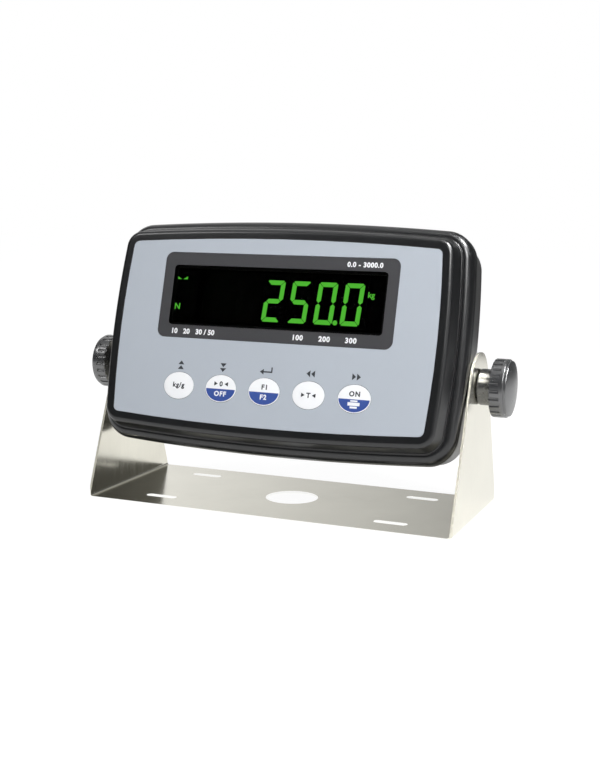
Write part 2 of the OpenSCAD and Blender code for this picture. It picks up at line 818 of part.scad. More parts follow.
module main_board_screws() color(steel) in_head() for (p = main_places) {
    bar(p, board_screw_d - 2 * screw_gap, main_board_front - weld,
        main_board_front + board_screw_l);
    bar(p, board_head_d, main_board_front - board_head_l, main_board_front);
}

// A place on the main board as shares of its width and height from its middle
function on_board(share) = [share[0] * main_board_w, main_board_rise + share[1] * main_board_h];

// Part that stands forwards off the main board
module board_part(at, size) {
    block(at, [size[0], size[1]], main_board_front - size[2], main_board_front);
}

module power_module() color("#2c2f33") in_head() board_part(on_board(power_at_share), power_size);

module relays() color("#2a4f9a") in_head() for (i = [0:relay_count - 1])
    board_part(on_board(relay_at_share) + [row_x(i, relay_count, relay_pitch), 0], relay_size);

module capacitors() color("#33383f") in_head() for (i = [0:capacitor_count - 1])
    bar(on_board(capacitor_at_share) + [row_x(i, capacitor_count, capacitor_pitch), 0],
        capacitor_d, main_board_front - capacitor_l, main_board_front);

module logic_chips() color(dark) in_head() for (i = [0:chip_count - 1])
    board_part(on_board(chip_at_share) + [row_x(i, chip_count, chip_pitch), 0], chip_size);

module terminal_blocks() color("#2f7d4f") in_head() for (i = [0:terminal_count - 1])
    difference() {
        at = [row_x(i, terminal_count, terminal_pitch),
            main_board_rise + terminal_z_share * main_board_h];
        board_part(at, terminal_size);
        for (k = [0:terminal_wires - 1])
            bar(at + [row_x(k, terminal_wires, terminal_size[0] / terminal_wires), 0],
                terminal_hole_d, main_board_front - terminal_size[2] - over,
                main_board_front - terminal_size[2] + terminal_hole_l);
    }

module case_screws() color(steel) in_head() for (p = case_places) {
    seat = head_depth - case_pocket_l;
    bar(p, case_screw_d - 2 * screw_gap, seat - case_screw_l, seat + weld);
    bar(p, case_head_d, seat, seat + case_head_l);
}

// Gland body: a threaded tail through the wall, a hexagon flange and a neck for the cap
module gland_bodies() color(dark) in_head() for (p = gland_places) difference() {
    union() {
        bar(p, gland_thread_d - 2 * screw_gap, back_inner - gland_tail_l, head_depth + weld);
        slab(head_depth, head_depth + gland_flange_l) translate(p)
            circle(d = gland_flange_d, $fn = hex_sides);
        bar(p, gland_neck_d, head_depth + gland_flange_l - weld,
            head_depth + gland_flange_l + gland_neck_l);
    }
    bar(p, gland_mouth_d, back_inner - gland_tail_l - over,
        head_depth + gland_flange_l + gland_neck_l + over);
    bar(p, gland_seal_d + 2 * screw_gap, head_depth + gland_flange_l,
        head_depth + gland_flange_l + gland_neck_l + over);
}

module gland_seals() color("#3a3c40") in_head() for (p = gland_places) difference() {
    bar(p, gland_seal_d, head_depth + gland_flange_l,
        head_depth + gland_flange_l + gland_seal_l);
    bar(p, gland_bore_d, head_depth + gland_flange_l - over,
        head_depth + gland_flange_l + gland_seal_l + over);
}

module gland_caps() color(dark) in_head() for (p = gland_places) {
    start = head_depth + gland_flange_l + arm_gap;
    end = start + gland_cap_l;
    difference() {
        intersection() {
            slab(start, end) translate(p) circle(d = gland_flange_d, $fn = hex_sides);
            translate([p[0], end - face_depth - gland_flange_d / 2 - gland_cap_wall, p[1]])
                sphere(d = gland_flange_d * gland_dome_share);
        }
        bar(p, gland_neck_d + 2 * screw_gap, start - over, start + gland_cap_l - gland_cap_wall);
        bar(p, gland_mouth_d, start, end + over);
    }
}

module gland_locknuts() color(dark) in_head() for (p = gland_places) difference() {
    slab(back_inner - gland_locknut_l, back_inner) translate(p)
        circle(d = gland_flange_d, $fn = hex_sides);
    bar(p, gland_thread_d, back_inner - gland_locknut_l - over, back_inner + over);
}

// Ring round the tilt axis of the right side, from x to x
module ring_x(d, bore, from, to) {
    rotate([0, 90, 0]) difference() {
        translate([0, 0, from]) cylinder(d = d, h = to - from);
        translate([0, 0, from - over]) cylinder(d = bore, h = to - from + 2 * over);
    }
}

module pivot_insert(side) color(brass) in_head() on_side(side)
    ring_x(insert_d - 2 * screw_gap, stud_d + 2 * thread_gap, insert_x, boss_x);

module friction_pad(side) color(dark) in_head() on_side(side)
    ring_x(pad_d, arm_hole_d, boss_x, boss_x + pad_t);

module knob_washer(side) color(steel) in_head() on_side(side)
    ring_x(washer_d, stud_d + 2 * thread_gap, knob_x, knob_x + washer_t);

// Hand knob: collar, ribbed grip and domed cap, with a recess for the washer
module knob(side) color(black) in_head() on_side(side) rotate([0, 90, 0])
    translate([0, 0, knob_x]) difference() {
        union() {
            rotate_extrude() polygon([[0, 0], [collar_d / 2 - collar_edge, 0],
                [collar_d / 2, collar_edge], [collar_d / 2, collar_l + weld], [0, collar_l + weld]]);
            difference() {
                translate([0, 0, collar_l]) rotate_extrude() polygon([[0, 0],
                    [grip_d / 2 - grip_edge, 0], [grip_d / 2, grip_edge],
                    [grip_d / 2, grip_l - grip_edge], [grip_d / 2 - grip_edge, grip_l], [0, grip_l]]);
                for (i = [0:rib_count - 1]) rotate(360 * i / rib_count)
                    translate([grip_d / 2, 0, collar_l - over])
                        cylinder(d = rib_groove_d, h = grip_l * rib_groove_l_share + over, $fn = rib_facets);
            }
            knob_cap();
        }
        translate([0, 0, -over]) cylinder(d = washer_d + 2 * washer_gap,
            h = over + washer_t + washer_gap);
        translate([0, 0, -over]) cylinder(d = stud_d, h = over + stud_root_l + weld);
        translate([0, 0, stud_root_l]) cylinder(d = stud_head_d, h = stud_head_l);
    }

// Round cap with a shallow dome
module knob_cap() {
    start = collar_l + grip_l - weld;
    dome_r = (cap_d * cap_d / 4 + cap_rise * cap_rise) / (2 * cap_rise);
    intersection() {
        translate([0, 0, start]) cylinder(d = cap_d, h = weld + cap_step + cap_rise);
        translate([0, 0, start + weld + cap_step + cap_rise - dome_r]) sphere(dome_r, $fn = dome_facets);
    }
}

module knob_stud(side) color("#9a9c9e") in_head() on_side(side) rotate([0, 90, 0])
    translate([0, 0, knob_x]) {
        translate([0, 0, -stud_reach]) cylinder(d = stud_d, h = stud_reach + stud_root_l + weld);
        translate([0, 0, stud_root_l]) cylinder(d = stud_head_d, h = stud_head_l);
    }

yoke_bracket();
front_housing();
rear_housing();
housing_gasket();
overlay_panel();
display_frame();
display_window();
digit_modules();
lit_segments();
dark_segments();
annunciator_blocks();
display_board();
display_screws();
keypad_board();
keypad_screws();
switch_bodies();
key(1);  // key_1
key(2);  // key_2
key(3);  // key_3
key(4);  // key_4
key(5);  // key_5
switch_stem(1);  // switch_stem_1
switch_stem(2);  // switch_stem_2
switch_stem(3);  // switch_stem_3
switch_stem(4);  // switch_stem_4
switch_stem(5);  // switch_stem_5
board_connectors();
ribbon_cable();
main_board();
main_board_screws();
power_module();
relays();
capacitors();
logic_chips();
terminal_blocks();
case_screws();
gland_bodies();
gland_caps();
gland_seals();
gland_locknuts();
pivot_insert(-1);  // pivot_insert_left
pivot_insert(1);  // pivot_insert_right
friction_pad(-1);  // friction_pad_left
friction_pad(1);  // friction_pad_right
knob_washer(-1);  // knob_washer_left
knob_washer(1);  // knob_washer_right
knob(-1);  // knob_left
knob(1);  // knob_right
knob_stud(-1);  // knob_stud_left
knob_stud(1);  // knob_stud_right
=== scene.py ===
"""Looks of the weighing indicator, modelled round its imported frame, in metres.

The head's pieces are drawn in millimetres in the head's own frame: x to the right, y as the
depth behind the front face, z above the tilt axis. HEAD takes them to their place.
"""
import math

import bmesh
import bpy
from mathutils import Matrix, Vector


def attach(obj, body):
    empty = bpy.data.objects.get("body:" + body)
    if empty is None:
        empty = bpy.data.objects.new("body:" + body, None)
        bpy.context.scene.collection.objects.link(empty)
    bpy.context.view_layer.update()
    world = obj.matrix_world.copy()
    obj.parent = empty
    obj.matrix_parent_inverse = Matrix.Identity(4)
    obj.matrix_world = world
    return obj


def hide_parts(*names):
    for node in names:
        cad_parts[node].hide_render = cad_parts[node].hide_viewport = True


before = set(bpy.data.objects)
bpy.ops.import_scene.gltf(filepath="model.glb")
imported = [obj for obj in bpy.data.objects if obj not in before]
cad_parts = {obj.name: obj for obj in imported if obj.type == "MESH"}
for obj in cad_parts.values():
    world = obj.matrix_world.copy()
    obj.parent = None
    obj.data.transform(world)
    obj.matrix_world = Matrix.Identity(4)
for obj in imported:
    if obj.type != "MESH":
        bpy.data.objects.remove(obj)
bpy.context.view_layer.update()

MM = 0.001
TILT = math.radians(15.8)
PIVOT_Y = 2.5
PIVOT_H = 84.8
FACE_DEPTH = 46.0
HEAD = (Matrix.Scale(MM, 4) @ Matrix.Translation((0.0, PIVOT_Y, PIVOT_H))
        @ Matrix.Rotation(-TILT, 4, "X") @ Matrix.Translation((0.0, -FACE_DEPTH, 0.0)))
FACING = Matrix.Rotation(math.radians(90), 4, "X")

# Face outline and housing, as in the solids
FACE_W, FACE_H, FACE_RISE = 210.8, 113.3, 18.9
TOP_BOW, SIDE_BOW, CORNER_R = 3.5, 2.5, 3.7
GROW_X, GROW_Z = 0.99, 1.03
FILM_T, FILM_SINK, FILM_GAP = 0.8, 0.2, 0.15
RING_W, EDGE_R, EDGE_SWEEP = 3.5, 3.4, 75.0
LIP_OUT, LIP_DEPTH, LIP_LEDGE, LIP_R = 9.6, 10.6, 0.6, 0.7
GROOVE_DEPTH, GROOVE_STEP = 13.4, 0.5
RIM_OUT, SPLIT_DEPTH, CHAMFER = 15.4, 21.4, 0.6
FLANGE_W, FLANGE_STEP = 5.2, 0.8
SIDE_OUT, SIDE_DEPTH, BACK_OUT, HEAD_DEPTH = 13.0, 43.0, 2.0, 62.0
WALL, JOINT_WALL = 3.0, 3.5
MID_CHAMFER, GROOVE_ROUND, FLANGE_ROUND, FILM_ROUND = 0.3, 0.12, 0.3, 0.15
RECESS = FILM_T + FILM_SINK
PLATE_BACK = RECESS + WALL
BACK_INNER = HEAD_DEPTH - WALL
INNER_STEP = WALL * 0.8
CUT_OVER = 1.0
SCREW_HOLE_D, SCREW_HOLE_L = 6.6, 3.0
SCREW_SHARES = ((0.92, 0.87), (0.3, 1.01))
BACK_PANEL_CENTRE, BACK_PANEL_SINK = (0.0, 26.0), 0.6
BACK_PANEL_W, BACK_PANEL_H, BACK_PANEL_R = 90.0, 34.0, 4.0

# Display and keys
DISPLAY_RISE = 40.9
WINDOW_W, WINDOW_H, WINDOW_R, LEDGE = 146.2, 39.2, 2.2, 1.6
WINDOW_GAP, SEAT_DEPTH, OPENING_START, OPENING_R = 0.3, 2.2, 1.5, 0.6
MODULE_FRONT = 2.8
KEY_PITCH, KEY_W, KEY_H, KEY_DROP = 30.0, 21.3, 17.4, 18.3
KEY_FRONT, KEY_T, KEY_ROUND = 0.1, 0.45, 0.16
PLUNGER_D, PLUNGER_END, PLUNGER_GAP, PLUNGER_LAP = 7.0, 5.0, 0.6, 0.1

# Arms, pivot bosses and knobs
ARM_OUTER_X, ARM_GAP = 125.0, 0.1
BOSS_X, BOSS_D, BOSS_ROOT_X, BOSS_ROUND = 121.6, 30.0, 113.9, 0.5
GRIP_D, GRIP_L, RIBS, RIB_W, RIB_SHARE = 36.3, 9.0, 24, 2.0, 0.72
RIB_FADE, RIB_STEPS = 0.6, 18
COLLAR_D, COLLAR_L, CAP_D, CAP_STEP, CAP_RISE = 22.6, 9.4, 34.3, 1.4, 1.9
COLLAR_ROUND, GRIP_ROUND, CAP_ROUND, DOME_STEPS = 1.6, 0.8, 0.12, 25
STUD_BORE_R, WASHER_SEAT_R, WASHER_SEAT = 3.02, 9.1, 1.3

# Printed words and signs. CAPITAL_SHARE is the height of a capital, as a share of the font's size
PRINT_T = 0.02
CAPITAL_SHARE = 0.73
FIELD_TOP, FIELD_RIM, FIELD_STEPS = -0.3, 0.55, 40
SIGN_RISE = 13.4
ARROW_L, ARROW_W, ARROW_STEP = 2.5, 4.3, 3.1
SIDE_ARROW_L, SIDE_ARROW_W, SIDE_ARROW_X = 2.4, 2.8, 3.6
KEY_TEXT_H, KEY_TEXT_UP, KEY_TEXT_DOWN = 3.1, 3.0, -3.3
FRAME_TEXT_H, FRAME_TEXT_DROP, FRAME_STEPS_X = 3.3, 4.2, -54.5
FRAME_NUMBERS = (("100", 18.6), ("200", 36.2), ("300", 53.7))
RANGE_TEXT_H, RANGE_TEXT_X, RANGE_TEXT_RISE = 3.1, 57.6, 4.0
ZERO_LEFT, ZERO_RIGHT, ZERO_RISE = -71.8, -64.4, 52.4
ZERO_L, ZERO_UP, ZERO_DOWN = 3.1, 1.1, 0.8
NET_PLACE, NET_H = (-69.5, 33.7), 4.0
UNIT_PLACE, UNIT_H = (62.9, 45.8), 3.6

# Plastics and prints: name, darkest and lightest colour as they look from 0 to 255, roughness,
# waves of grain to the metre, and the grain's height in metres
PLASTICS = {
    "housing": ("housing_satin", (18, 19, 21), (22, 23, 25), 0.29, 2600, 0.00003),
    "knob": ("knob_gloss", (49, 50, 52), (55, 56, 58), 0.28, 1500, 0.00003),
    "film": ("film_matt", (177, 184, 193), (181, 188, 197), 0.5, 4000, 0.00001),
    "display_frame": ("frame_print", (54, 54, 57), (57, 57, 60), 0.55, 4000, 0.00001),
    "key": ("key_white", (246, 247, 249), (248, 249, 251), 0.45, 4000, 0.00001),
    "print_blue": ("print_blue", (44, 74, 152), (48, 78, 156), 0.5, 4000, 0.0),
    "print_dark": ("print_dark", (46, 48, 54), (50, 52, 58), 0.5, 4000, 0.0),
    "print_white": ("print_white", (240, 241, 243), (245, 246, 248), 0.5, 4000, 0.0),
    "display_black": ("display_black", (8, 8, 8), (10, 10, 10), 0.7, 2600, 0.00003),
    "unlit": ("segment_unlit", (9, 11, 9), (10, 12, 10), 0.6, 2600, 0.00003),
    "rubber": ("rubber", (24, 24, 25), (30, 30, 31), 0.65, 1200, 0.00005),
    "parts": ("parts_black", (44, 45, 48), (52, 53, 56), 0.45, 2600, 0.00003),
    "nylon": ("nylon", (226, 222, 210), (232, 228, 218), 0.4, 2600, 0.00003),
    "board": ("board_green", (24, 92, 52), (30, 104, 60), 0.35, 2600, 0.00003),
    "relay": ("relay_blue", (38, 74, 150), (44, 82, 160), 0.35, 2600, 0.00003),
    "terminal": ("terminal_green", (40, 120, 74), (46, 130, 82), 0.45, 2600, 0.00003),
}
PLASTIC_SOCKETS = {
    "housing": {"Specular IOR Level": 0.7},
    "knob": {"Specular IOR Level": 1.0, "IOR": 1.75},
    "display_black": {"Specular IOR Level": 0.1},
    "unlit": {"Specular IOR Level": 0.1},
}
LIT_COLOR, LIT_GLOW, LIT_STRENGTH, LIT_ROUGH = (30, 60, 22), (76, 175, 50), 5.2, 0.6
PANE_COLOR, PANE_IOR = (0.2, 0.2, 0.2, 1.0), 1.03

# Wander of gloss and colour: the noise between NOISE_LOW and NOISE_HIGH spans the whole change
NOISE_LOW, NOISE_HIGH = 0.3, 0.7
GLOSS_WAVES, GLOSS_LESS, GLOSS_MORE = 60, 0.015, 0.02
COLOR_WAVES = 25
BUMP_STRENGTH = 0.5

# Metals: name, linear colour, metallic, the least and most roughness, waves to the metre
METALS = {
    "can": ("can_sleeve", (0.021219, 0.027321, 0.039546, 1.0), 0.2, 0.22, 0.4, 300),
    "zinc": ("zinc", (0.62, 0.62, 0.60, 1.0), 1.0, 0.2, 0.36, 500),
    "brass": ("brass", (0.68, 0.50, 0.22, 1.0), 1.0, 0.2, 0.32, 500),
}

# Sheet of the yoke, in linear colours. The arms' edges lean past EDGE_LEAN, as y times z of
# their normals, and the base's cut faces lie below CUT_TOP metres with upright walls. On those
# cut faces a near-white colour is painted as light, standing in for the white floor seen
# through the base's holes
STEEL_DARK, STEEL_LIGHT = (0.62, 0.60, 0.52, 1.0), (0.90, 0.88, 0.77, 1.0)
STEEL_ROUGH, STEEL_BUMP = (0.13, 0.21), 0.00002
STREAK_WAVES, STREAK_STRETCH, CLOUD_WAVES, DENT_WAVES = 1400, (0.05, 1, 0.05), 22, 25
EDGE_LEAN, EDGE_ROUGH = 0.15, 0.62
CUT_TOP, CUT_UPRIGHT, CUT_PAINTED_LIGHT = 0.0016, 0.2, (0.97, 0.97, 0.95, 1.0)

# Material of each node that isn't replaced, "parts" being the rest's
NODE_LOOKS = {
    "yoke_bracket": "steel", "overlay_panel": "film", "display_frame": "display_frame",
    "display_window": "window", "lit_segments": "lit", "dark_segments": "unlit",
    "digit_modules": "display_black", "annunciator_blocks": "display_black",
    "housing_gasket": "rubber", "friction_pad_left": "rubber", "friction_pad_right": "rubber",
    "gland_seals": "rubber", "display_board": "display_black", "keypad_board": "board",
    "main_board": "board", "relays": "relay", "terminal_blocks": "terminal",
    "capacitors": "can", "board_connectors": "nylon", "display_screws": "zinc",
    "keypad_screws": "zinc", "main_board_screws": "zinc", "case_screws": "zinc",
    "knob_washer_left": "zinc", "knob_washer_right": "zinc", "knob_stud_left": "zinc",
    "knob_stud_right": "zinc", "pivot_insert_left": "brass", "pivot_insert_right": "brass",
}
NODE_LOOKS.update({f"switch_stem_{n}": "nylon" for n in range(1, 6)})

# Studio in metres: walls and cards by their lowest and highest corners, and strengths as
# [x, strength] at two places, between which they change evenly
WORLD_LIGHT, WORLD_COLOR = 0.33, (0.97, 0.985, 1.0, 1)
FLOOR_HALF, FLOOR_Z, FLOOR_PAPER = 4.0, -0.0003, (0.93, 0.93, 0.925, 1)
FLOOR_GLOW, FLOOR_GLOW_SHARE = 1.22, 0.76
DIM = ((0.0, 0.05), (1.0, 0.05))
FLAGS = {
    "flag_back": ((-1.6, 0.7, 0.01), (1.6, 0.7, 1.7), ((-0.5, 0.93), (0.3, 0.07))),
    "flag_front": ((-1.6, -1.9, 0.01), (1.6, -1.9, 1.7), DIM),
    "flag_left": ((-1.6, -1.9, 0.01), (-1.6, 0.7, 1.7), DIM),
    "flag_right": ((1.6, -1.9, 0.01), (1.6, 0.7, 1.7), DIM),
    "flag_top": ((-1.6, -1.9, 1.7), (1.6, 0.7, 1.7), DIM),
    "card_top": ((-0.9, -0.45, 1.2), (0.9, 0.4, 1.2), ((-0.9, 0.4), (0.9, 1.9))),
    "card_side": ((1.2, -0.75, 0.01), (1.2, -0.1, 0.55), ((0.0, 1.1), (1.0, 1.1))),
    "card_corner": ((0.44, -0.2, 1.1), (0.72, 0.12, 1.1), ((0.0, 80.0), (1.0, 80.0))),
}

# Lamps: place and size in metres, and power in watts
LAMP_TARGET = (0.0, 0.0, 0.09)
LAMPS = {
    "key": ((0.55, -0.5, 0.72), (0.3, 0.3), 6.2),
    "fill": ((-0.82, -0.8, 1.12), (0.4, 0.3), 3.7),
}

# Camera fitted to the photograph: degrees, millimetres and pixels
CAMERA_AZIMUTH, CAMERA_ELEVATION, CAMERA_ROLL = 22.6, 9.15, 0.57
CAMERA_DISTANCE = 800.19
CAMERA_TARGET = (5.08, 0.0, 74.49)
FOCAL_PIXELS = 1216.25
LONG_SIDE_PIXELS = 780
SENSOR = 36.0


def rgb(r, g, b):
    """A colour given as it looks, 0 to 255, turned into the linear colour that a shader takes."""
    def linear(v):
        v /= 255
        return v / 12.92 if v <= 0.04045 else ((v + 0.055) / 1.055) ** 2.4
    return (linear(r), linear(g), linear(b), 1.0)


# Shader nodes

def add_node(tree, kind, **values):
    """A new shader node, its kind given without the word ShaderNode."""
    node = tree.nodes.new("ShaderNode" + kind)
    for key, value in values.items():
        setattr(node, key, value)
    return node


def feed(tree, entry, source):
    """Gives a node's input a value, or links another node's output to it."""
    if isinstance(source, bpy.types.NodeSocket):
        tree.links.new(source, entry)
    else:
        entry.default_value = source


def math_node(tree, operation, *sources):
    """Output of a Math node on numbers and other nodes' outputs."""
    node = add_node(tree, "Math", operation=operation)
    for entry, source in zip(node.inputs, sources):
        feed(tree, entry, source)
    return node.outputs[0]


def shader_node(tree, kind, **values):
    """Output of a shader, with the values or outputs for its sockets named in small letters."""
    node = add_node(tree, kind)
    for key, value in values.items():
        feed(tree, node.inputs[key.title()], value)
    return node.outputs[0]


def map_range(tree, source, low, high):
    """Even change between two points, each given as [from, to]."""
    spread = add_node(tree, "MapRange")
    for name, point in (("Min", low), ("Max", high)):
        spread.inputs["From " + name].default_value = point[0]
        spread.inputs["To " + name].default_value = point[1]
    tree.links.new(source, spread.inputs["Value"])
    return spread.outputs["Result"]


def mix_colors(tree, share, low, high):
    """Output of a mix of two colours, each a value or another node's output."""
    mix = add_node(tree, "Mix", data_type="RGBA")
    for name, source in (("Factor", share), ("A", low), ("B", high)):
        feed(tree, mix.inputs[name], source)
    return mix.outputs["Result"]


def mix_shaders(tree, share, first, second):
    """Output of a mix of two shaders."""
    mix = add_node(tree, "MixShader")
    for entry, source in zip(mix.inputs, (share, first, second)):
        feed(tree, entry, source)
    return mix.outputs[0]


def along(tree, output, axis):
    """One axis of a texture coordinate, such as the height in the object's own metres."""
    place = add_node(tree, "TexCoord")
    split = add_node(tree, "SeparateXYZ")
    tree.links.new(place.outputs[output], split.inputs[0])
    return split.outputs[axis]


def noise(tree, scale, detail=3.0, stretch=(1, 1, 1)):
    """Noise in the object's own metres, scale being waves to the metre."""
    place = add_node(tree, "TexCoord")
    mapping = add_node(tree, "Mapping")
    mapping.inputs["Scale"].default_value = stretch
    texture = add_node(tree, "TexNoise")
    texture.inputs["Scale"].default_value = scale
    texture.inputs["Detail"].default_value = detail
    tree.links.new(place.outputs["Object"], mapping.inputs["Vector"])
    tree.links.new(mapping.outputs["Vector"], texture.inputs["Vector"])
    return texture.outputs["Fac"]


# Materials

def principled(mat):
    """The material's Principled shader."""
    return mat.node_tree.nodes["Principled BSDF"]


def material(name, color, roughness, sockets=None):
    """A Principled material, with other sockets' values by their names."""
    mat = bpy.data.materials.new(name)
    mat.use_nodes = True
    values = {"Base Color": color, "Roughness": roughness, **(sockets or {})}
    for socket, value in values.items():
        principled(mat).inputs[socket].default_value = value
    return mat


def vary_roughness(mat, source, low, high):
    """Lets the roughness wander between two values by a texture."""
    result = map_range(mat.node_tree, source, (NOISE_LOW, low), (NOISE_HIGH, high))
    feed(mat.node_tree, principled(mat).inputs["Roughness"], result)


def tint(mat, source, low, high):
    """Lets the base colour wander between two colours by a texture."""
    result = mix_colors(mat.node_tree, source, low, high)
    feed(mat.node_tree, principled(mat).inputs["Base Color"], result)


def bump(mat, source, height):
    """Raises the surface by a texture, to a height in metres."""
    node = add_node(mat.node_tree, "Bump")
    node.inputs["Distance"].default_value = height
    node.inputs["Strength"].default_value = BUMP_STRENGTH
    feed(mat.node_tree, node.inputs["Height"], source)
    feed(mat.node_tree, principled(mat).inputs["Normal"], node.outputs["Normal"])


def rough_edges(mat):
    """Roughens the arms' cut edges, whose normals lean upwards and to the front or back."""
    tree, entry = mat.node_tree, principled(mat).inputs["Roughness"]
    before = entry.links[0].from_socket
    lean = math_node(tree, "MULTIPLY", along(tree, "Normal", "Y"), along(tree, "Normal", "Z"))
    edge = math_node(tree, "GREATER_THAN", math_node(tree, "ABSOLUTE", lean), EDGE_LEAN)
    raised = math_node(tree, "MULTIPLY", edge, EDGE_ROUGH)
    feed(tree, entry, math_node(tree, "MAXIMUM", raised, before))


def paint_light_on_cuts(mat):
    """Paints light onto the upright cut faces of the base, its edges and its holes' walls: a
    near-white painted highlight that stands in for the white floor seen through the holes.
    """
    tree, entry = mat.node_tree, principled(mat).inputs["Base Color"]
    before = entry.links[0].from_socket
    masks = []
    for output, limit in (("Object", CUT_TOP), ("Normal", CUT_UPRIGHT)):
        size = math_node(tree, "ABSOLUTE", along(tree, output, "Z"))
        masks.append(math_node(tree, "LESS_THAN", size, limit))
    painted_light_mask = math_node(tree, "MULTIPLY", *masks)
    # Near-white painted light on the cut faces, standing in for the white floor seen through the
    # holes
    feed(tree, entry, mix_colors(tree, painted_light_mask, before, CUT_PAINTED_LIGHT))


def moulded(name, color, lighter, roughness, grain, depth, sockets):
    """Moulded plastic with a fine satin grain and a slight wander of gloss and colour."""
    mat = material(name, rgb(*color), roughness, sockets)
    tree = mat.node_tree
    vary_roughness(mat, noise(tree, GLOSS_WAVES), roughness - GLOSS_LESS, roughness + GLOSS_MORE)
    tint(mat, noise(tree, COLOR_WAVES), rgb(*color), rgb(*lighter))
    bump(mat, noise(tree, grain), depth)
    return mat


def make_steel():
    """Rolled sheet: fine streaks along the strip and up its arms, and a near-white painted
    highlight on the cut faces.
    """
    steel = material("steel_sheet", STEEL_LIGHT, STEEL_ROUGH[0], {"Metallic": 1.0})
    tree = steel.node_tree
    streaks = noise(tree, STREAK_WAVES, stretch=STREAK_STRETCH)
    vary_roughness(steel, streaks, *STEEL_ROUGH)
    rough_edges(steel)
    total = math_node(tree, "ADD", streaks, noise(tree, CLOUD_WAVES, detail=4))
    tint(steel, math_node(tree, "MULTIPLY", total, 0.5), STEEL_DARK, STEEL_LIGHT)
    paint_light_on_cuts(steel)
    bump(steel, noise(tree, DENT_WAVES, detail=2), STEEL_BUMP)
    return steel


def make_materials():
    mats = {look: moulded(*values, PLASTIC_SOCKETS.get(look))
            for look, values in PLASTICS.items()}
    mats["steel"] = make_steel()
    for look, (name, color, metallic, low, high, waves) in METALS.items():
        mats[look] = material(name, color, low, {"Metallic": metallic})
        vary_roughness(mats[look], noise(mats[look].node_tree, waves), low, high)

    # The pane darkens what lies behind it and hardly reflects, as a coated filter does
    mats["window"] = material("window_filter", PANE_COLOR, 0.0,
                              {"IOR": PANE_IOR, "Transmission Weight": 1.0})
    mats["lit"] = material("segment_lit", rgb(*LIT_COLOR), LIT_ROUGH,
                           {"Emission Color": rgb(*LIT_GLOW), "Emission Strength": LIT_STRENGTH})
    return mats


# Mesh helpers

def finish_mesh(mesh, sharp_angle):
    """Turns the faces outwards and shades them smooth, apart from edges past the angle."""
    work = bmesh.new()
    work.from_mesh(mesh)
    bmesh.ops.recalc_face_normals(work, faces=work.faces)
    work.to_mesh(mesh)
    work.free()
    mesh.shade_smooth()
    mesh.set_sharp_from_angle(angle=math.radians(sharp_angle))


def mesh_object(name, points, faces, matrix=Matrix.Identity(4), sharp_angle=180):
    """An object of points and faces, its points taken to their place by the matrix."""
    mesh = bpy.data.meshes.new(name)
    mesh.from_pydata([matrix @ Vector(p) for p in points], [], faces)
    finish_mesh(mesh, sharp_angle)
    obj = bpy.data.objects.new(name, mesh)
    bpy.context.scene.collection.objects.link(obj)
    return obj


def add_piece(name, points, faces, matrix, body, mat, sharp_angle=32):
    """A mesh piece, drawn in millimetres and placed by the matrix, on its body."""
    obj = mesh_object(name, points, faces, matrix, sharp_angle)
    obj.data.materials.append(mat)
    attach(obj, body)
    return obj


def grid_faces(rows, columns):
    """Quads of a tube of points, row after row, each row closed on itself."""
    faces = []
    for i in range(rows - 1):
        for j in range(columns):
            a = i * columns + j
            b = i * columns + (j + 1) % columns
            faces.append((a, b, b + columns, a + columns))
    return faces


def tube(loops):
    """Closed solid through loops of points, with a flat cap on the first and the last."""
    columns = len(loops[0])
    points = [p for loop in loops for p in loop]
    faces = grid_faces(len(loops), columns)
    faces.append(tuple(range(columns)))
    faces.append(tuple((len(loops) - 1) * columns + j for j in range(columns)))
    return points, faces


def quarter(steps):
    """Angles of a quarter turn, in steps."""
    return [math.radians(90 * k / steps) for k in range(steps + 1)]


def ellipse(centre, width, height, depth, steps=96):
    """Loop of an ellipse on the face, at a depth."""
    return [(centre[0] + width / 2 * math.cos(2 * math.pi * k / steps), depth,
             centre[1] + height / 2 * math.sin(2 * math.pi * k / steps)) for k in range(steps)]


def rounded_rect(centre, width, height, radius, depth, steps=10):
    """Loop of a rectangle with round corners on the face, at a depth."""
    points = []
    for corner in range(4):
        sx = 1 if corner in (0, 3) else -1
        sz = 1 if corner < 2 else -1
        cx = centre[0] + sx * (width / 2 - radius)
        cz = centre[1] + sz * (height / 2 - radius)
        for k in range(steps + 1):
            angle = math.radians(90 * corner + 90 * k / steps)
            points.append((cx + radius * math.cos(angle), depth, cz + radius * math.sin(angle)))
    return points


def joined(solids):
    """Several solids of points and faces as one."""
    points, faces = [], []
    for solid_points, solid_faces in solids:
        faces += [tuple(len(points) + i for i in face) for face in solid_faces]
        points += solid_points
    return points, faces


def carve(points, faces, cuts):
    """The solid with other solids cut out of it, as points and faces."""
    target = mesh_object("carve_target", points, faces)
    tools = []
    for solid in cuts:
        tool = mesh_object("carve_tool", *solid)
        tools.append(tool)
        modifier = target.modifiers.new("cut", "BOOLEAN")
        modifier.operation = "DIFFERENCE"
        modifier.solver = "EXACT"
        modifier.object = tool
    evaluated = target.evaluated_get(bpy.context.evaluated_depsgraph_get())
    mesh = bpy.data.meshes.new_from_object(evaluated)
    result = ([tuple(v.co) for v in mesh.vertices], [tuple(p.vertices) for p in mesh.polygons])
    for obj in tools + [target]:
        bpy.data.objects.remove(obj)
    bpy.data.meshes.remove(mesh)
    return result


def bar(at, diameter, near, far, steps=48):
    """Round bar along the depth at a place on the face."""
    return tube([ellipse(at, diameter, diameter, near, steps),
                 ellipse(at, diameter, diameter, far, steps)])


def rect_bar(centre, width, height, radius, near, far):
    """Bar along the depth with the outline of a rounded rectangle."""
    return tube([rounded_rect(centre, width, height, radius, near),
                 rounded_rect(centre, width, height, radius, far)])


def plate(outline, front, thickness):
    """Flat solid of an outline of [x, z], a thickness proud of a front."""
    return tube([[(x, front - thickness, z) for x, z in outline],
                 [(x, front, z) for x, z in outline]])


